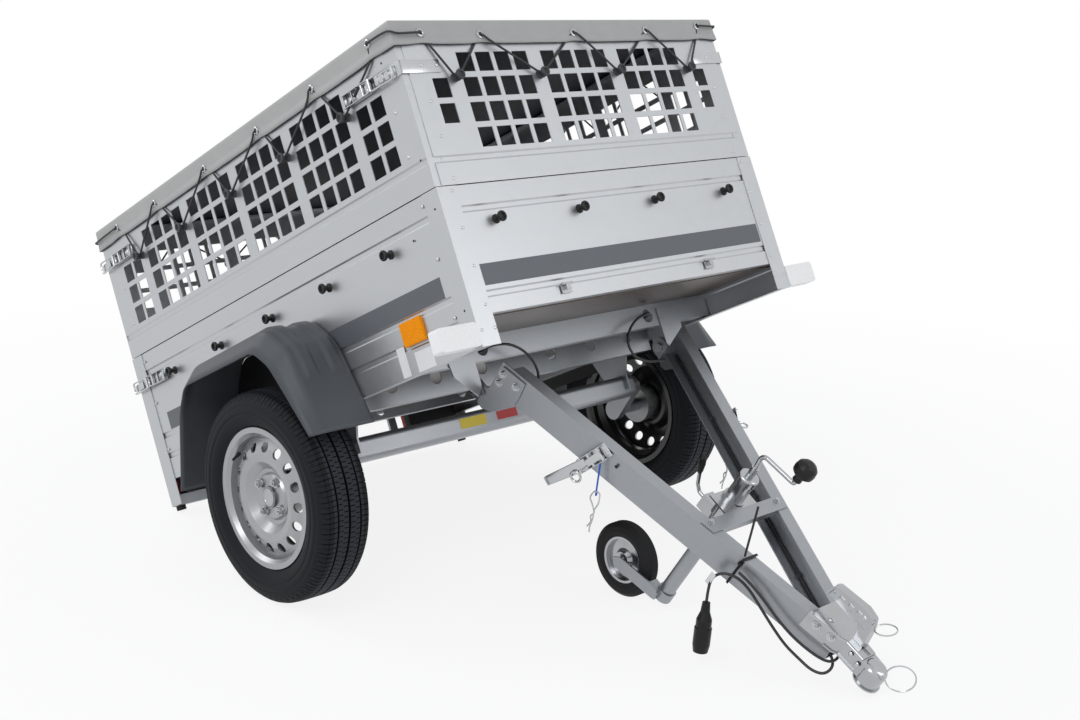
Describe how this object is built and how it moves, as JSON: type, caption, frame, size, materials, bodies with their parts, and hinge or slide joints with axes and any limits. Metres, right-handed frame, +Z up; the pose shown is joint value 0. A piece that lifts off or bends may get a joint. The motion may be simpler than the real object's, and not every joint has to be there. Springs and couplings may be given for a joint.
{
  "type": "utility trailer",
  "caption": "Single-axle tipping trailer with sheet-steel box, mesh side extensions, flat cover, hinged V drawbar, jockey wheel and ball coupling.",
  "frame": {"origin": "on the ground under the middle of the trailer's outer box", "axes": "+X towards the coupling, +Y to the trailer's left, +Z up"},
  "size_m": [2.4754, 1.514, 1.4623],
  "materials": {
    "black_plastic": "satin",
    "black_rubber": "matt rubber",
    "bright_zinc": "bright zinc plating",
    "cable_black": "matt sheath",
    "cover_fabric": "coated cloth",
    "floor_board": "film-faced plywood",
    "galvanised_frame": "hot dip galvanised steel",
    "galvanised_sheet": "smooth galvanised sheet",
    "guard_plastic": "grained moulded plastic",
    "hub_steel": "satin",
    "jockey_rubber": "matt rubber",
    "lamp_red": "red lens",
    "lamp_white": "clear-faced lens",
    "reflector_orange": "prismatic lens",
    "rim_paint": "silver paint, satin",
    "tyre_rubber": "matt rubber"
  },
  "bodies": {
    "bed": {"axle_arm_left": "galvanised_frame", "axle_arm_right": "galvanised_frame", "axle_brackets": "galvanised_frame", "axle_tube": "galvanised_frame", "cover": "cover_fabric", "cross_member_front": "galvanised_frame", "cross_member_middle": "galvanised_frame", "cross_member_rear": "galvanised_frame", "far_loop": "cable_black", "floor": "floor_board", "front_hooks": "bright_zinc", "front_posts": "galvanised_sheet", "front_wall": "galvanised_sheet", "grille_front": "galvanised_sheet", "grille_rear": "galvanised_sheet", "grille_side_left": "galvanised_sheet", "grille_side_right": "galvanised_sheet", "guide_brackets": "galvanised_frame", "hinge_pins": "bright_zinc", "latches_front": "bright_zinc", "latches_low": "bright_zinc", "latches_rear": "bright_zinc", "marker_lamps": "lamp_white", "mudguard_left": "guard_plastic", "mudguard_right": "guard_plastic", "near_loop": "cable_black", "rear_bar": "galvanised_frame", "rear_feet": "black_rubber", "rear_lamps": "lamp_red", "rear_posts": "galvanised_sheet", "side_reflectors": "reflector_orange", "side_wall_left": "galvanised_sheet", "side_wall_right": "galvanised_sheet"},
    "wheel_left": {"tyre_left": "tyre_rubber", "rim_left": "rim_paint", "hub_left": "hub_steel"},
    "wheel_right": {"tyre_right": "tyre_rubber", "rim_right": "rim_paint", "hub_right": "hub_steel"},
    "tailgate": {"tailgate": "galvanised_sheet"},
    "drawbar": {"beam_left": "galvanised_frame", "beam_right": "galvanised_frame", "hinge_arms": "galvanised_frame", "cross_channel": "galvanised_frame", "coupling_head": "bright_zinc", "coupling_lever": "bright_zinc", "jockey_clamp": "bright_zinc", "jockey_outer_tube": "bright_zinc", "jockey_crank": "bright_zinc", "tilt_locks": "bright_zinc", "cable_tie": "black_plastic", "plug_cord": "cable_black", "slack_cord": "cable_black", "plug": "black_plastic", "jockey_grips": "black_plastic", "beam_lead": "cable_black"},
    "jockey_leg": {"jockey_leg": "galvanised_frame"},
    "jockey_fork": {"jockey_fork": "galvanised_frame"},
    "jockey_wheel": {"jockey_tyre": "jockey_rubber", "jockey_rim": "bright_zinc"}
  },
  "joints": [
    {"name": "wheel_left_spin", "type": "hinge", "parent": "bed", "child": "wheel_left", "pos_m": [-0.13246, 0.6755, 0.2735], "axis": [0, 1, 0], "continuous": true},
    {"name": "wheel_right_spin", "type": "hinge", "parent": "bed", "child": "wheel_right", "pos_m": [-0.13246, -0.6755, 0.2735], "axis": [0, 1, 0], "continuous": true},
    {"name": "tailgate_hinge", "type": "hinge", "parent": "bed", "child": "tailgate", "pos_m": [-0.92105, 0, 0.13621], "axis": [0, -1, 0], "range_deg": [0, 170]},
    {"name": "drawbar_tilt", "type": "hinge", "parent": "bed", "child": "drawbar", "pos_m": [0.22073, 0, 0.57363], "axis": [0, -1, 0], "range_deg": [-5, 59.2]},
    {"name": "jockey_slide", "type": "slide", "parent": "drawbar", "child": "jockey_leg", "axis": [0.5402, 0, 0.8415], "range_m": [-0.04, 0.12]},
    {"name": "jockey_swivel", "type": "hinge", "parent": "jockey_leg", "child": "jockey_fork", "pos_m": [0.58439, 0, 0.06092], "axis": [0.5402, 0, 0.8415], "continuous": true},
    {"name": "jockey_wheel_spin", "type": "hinge", "parent": "jockey_fork", "child": "jockey_wheel", "pos_m": [0.43836, 0, 0.1], "axis": [0, 1, 0], "continuous": true}
  ]
}
